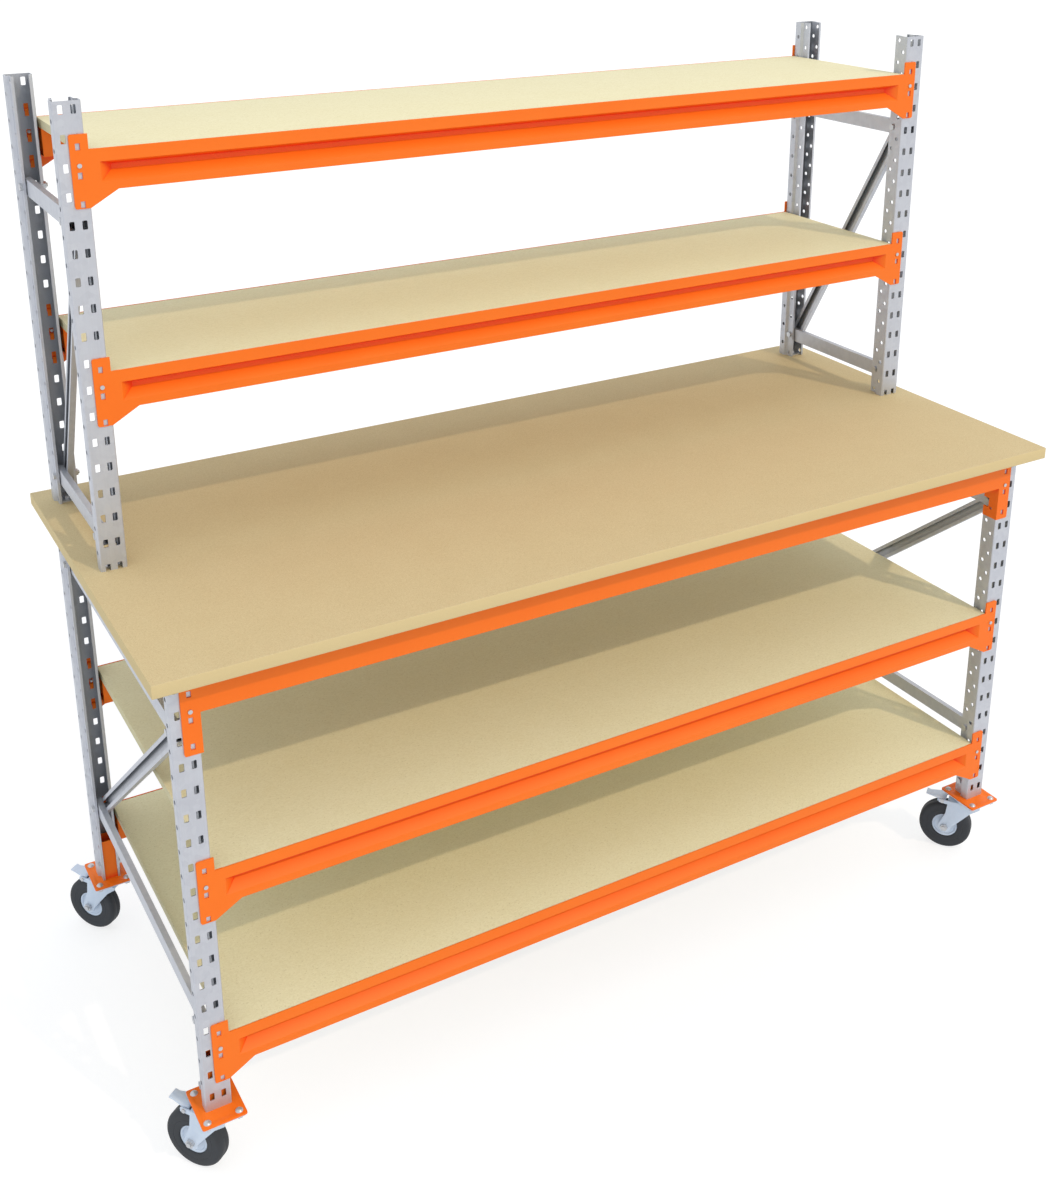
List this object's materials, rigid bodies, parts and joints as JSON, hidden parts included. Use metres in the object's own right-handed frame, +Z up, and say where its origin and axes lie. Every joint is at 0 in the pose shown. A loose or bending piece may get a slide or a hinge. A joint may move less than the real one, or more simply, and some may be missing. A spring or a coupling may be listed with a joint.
{
  "type": "mobile workbench",
  "caption": "Mobile workbench with slotted steel end frames, hooked orange beams, a thick board worktop, shelves below and above it, and braked swivel castors.",
  "frame": {"origin": "on the floor, at the middle of the rectangle that the whole bench covers", "axes": "+Z up, +X along the bench's length to the right, +Y from the bench's front to its back"},
  "size_m": [2.0466, 0.9276, 1.954],
  "materials": {
    "galvanised_sheet": "galvanised",
    "orange_paint": "semi-gloss powder coat",
    "worktop_board": "raw fibreboard",
    "shelf_board": "raw chipboard",
    "zinc_pressings": "bright zinc",
    "zinc_fasteners": "zinc plated",
    "tyre_rubber": "matt rubber"
  },
  "bodies": {
    "bench_frame": {"beam_lock_pins": "zinc_fasteners", "bottom_shelf_beam_front": "orange_paint", "bottom_shelf_beam_rear": "orange_paint", "bottom_shelf_board": "shelf_board", "brace_spacers": "zinc_fasteners", "castor_foot_front_left": "orange_paint", "castor_foot_front_right": "orange_paint", "castor_foot_rear_left": "orange_paint", "castor_foot_rear_right": "orange_paint", "castor_kingpins": "zinc_pressings", "castor_plate_bolts": "zinc_fasteners", "castor_top_plates": "zinc_pressings", "cleat_bolts": "zinc_fasteners", "lower_cross_braces": "galvanised_sheet", "lower_diagonal_braces": "galvanised_sheet", "middle_shelf_beam_front": "orange_paint", "middle_shelf_beam_rear": "orange_paint", "middle_shelf_board": "shelf_board", "top_shelf_beam_front": "orange_paint", "top_shelf_beam_rear": "orange_paint", "top_shelf_board": "shelf_board", "upper_cross_braces": "galvanised_sheet", "upper_diagonal_braces": "galvanised_sheet", "upper_frame_cleats": "zinc_fasteners", "upper_shelf_beam_front": "orange_paint", "upper_shelf_beam_rear": "orange_paint", "upper_shelf_board": "shelf_board", "upper_upright_front_left": "galvanised_sheet", "upper_upright_front_right": "galvanised_sheet", "upper_upright_rear_left": "galvanised_sheet", "upper_upright_rear_right": "galvanised_sheet", "upright_bolts": "zinc_fasteners", "upright_front_left": "galvanised_sheet", "upright_front_right": "galvanised_sheet", "upright_rear_left": "galvanised_sheet", "upright_rear_right": "galvanised_sheet", "worktop": "worktop_board", "worktop_beam_front": "orange_paint", "worktop_beam_rear": "orange_paint", "worktop_screws": "zinc_fasteners"},
    "castor_front_left": {"castor_fork_front_left": "zinc_pressings", "castor_axle_front_left": "zinc_fasteners"},
    "wheel_front_left": {"wheel_rim_front_left": "zinc_pressings", "wheel_tyre_front_left": "tyre_rubber"},
    "pedal_front_left": {"brake_pedal_front_left": "zinc_pressings"},
    "castor_rear_left": {"castor_fork_rear_left": "zinc_pressings", "castor_axle_rear_left": "zinc_fasteners"},
    "wheel_rear_left": {"wheel_rim_rear_left": "zinc_pressings", "wheel_tyre_rear_left": "tyre_rubber"},
    "pedal_rear_left": {"brake_pedal_rear_left": "zinc_pressings"},
    "castor_front_right": {"castor_fork_front_right": "zinc_pressings", "castor_axle_front_right": "zinc_fasteners"},
    "wheel_front_right": {"wheel_rim_front_right": "zinc_pressings", "wheel_tyre_front_right": "tyre_rubber"},
    "pedal_front_right": {"brake_pedal_front_right": "zinc_pressings"},
    "castor_rear_right": {"castor_fork_rear_right": "zinc_pressings", "castor_axle_rear_right": "zinc_fasteners"},
    "wheel_rear_right": {"wheel_rim_rear_right": "zinc_pressings", "wheel_tyre_rear_right": "tyre_rubber"},
    "pedal_rear_right": {"brake_pedal_rear_right": "zinc_pressings"}
  },
  "joints": [
    {"name": "castor_swivel_front_left", "type": "hinge", "parent": "bench_frame", "child": "castor_front_left", "pos_m": [-0.9467, -0.40083, 0.138], "axis": [0, 0, 1], "continuous": true},
    {"name": "wheel_spin_front_left", "type": "hinge", "parent": "castor_front_left", "child": "wheel_front_left", "pos_m": [-0.97645, -0.36064, 0.0625], "axis": [-0.8039, -0.5948, 0], "continuous": true},
    {"name": "brake_pedal_front_left", "type": "hinge", "parent": "castor_front_left", "child": "pedal_front_left", "pos_m": [-0.98239, -0.3526, 0.134], "axis": [-0.8039, -0.5948, 0], "range_deg": [0, 12]},
    {"name": "castor_swivel_rear_left", "type": "hinge", "parent": "bench_frame", "child": "castor_rear_left", "pos_m": [-0.9467, 0.36717, 0.138], "axis": [0, 0, 1], "continuous": true},
    {"name": "wheel_spin_rear_left", "type": "hinge", "parent": "castor_rear_left", "child": "wheel_rear_left", "pos_m": [-0.97645, 0.40736, 0.0625], "axis": [-0.8039, -0.5948, 0], "continuous": true},
    {"name": "brake_pedal_rear_left", "type": "hinge", "parent": "castor_rear_left", "child": "pedal_rear_left", "pos_m": [-0.98239, 0.4154, 0.134], "axis": [-0.8039, -0.5948, 0], "range_deg": [0, 12]},
    {"name": "castor_swivel_front_right", "type": "hinge", "parent": "bench_frame", "child": "castor_front_right", "pos_m": [0.9633, -0.40083, 0.138], "axis": [0, 0, 1], "continuous": true},
    {"name": "wheel_spin_front_right", "type": "hinge", "parent": "castor_front_right", "child": "wheel_front_right", "pos_m": [0.93356, -0.36064, 0.0625], "axis": [-0.8039, -0.5948, 0], "continuous": true},
    {"name": "brake_pedal_front_right", "type": "hinge", "parent": "castor_front_right", "child": "pedal_front_right", "pos_m": [0.92761, -0.3526, 0.134], "axis": [-0.8039, -0.5948, 0], "range_deg": [0, 12]},
    {"name": "castor_swivel_rear_right", "type": "hinge", "parent": "bench_frame", "child": "castor_rear_right", "pos_m": [0.9633, 0.36717, 0.138], "axis": [0, 0, 1], "continuous": true},
    {"name": "wheel_spin_rear_right", "type": "hinge", "parent": "castor_rear_right", "child": "wheel_rear_right", "pos_m": [0.93356, 0.40736, 0.0625], "axis": [-0.8039, -0.5948, 0], "continuous": true},
    {"name": "brake_pedal_rear_right", "type": "hinge", "parent": "castor_rear_right", "child": "pedal_rear_right", "pos_m": [0.92761, 0.4154, 0.134], "axis": [-0.8039, -0.5948, 0], "range_deg": [0, 12]}
  ]
}
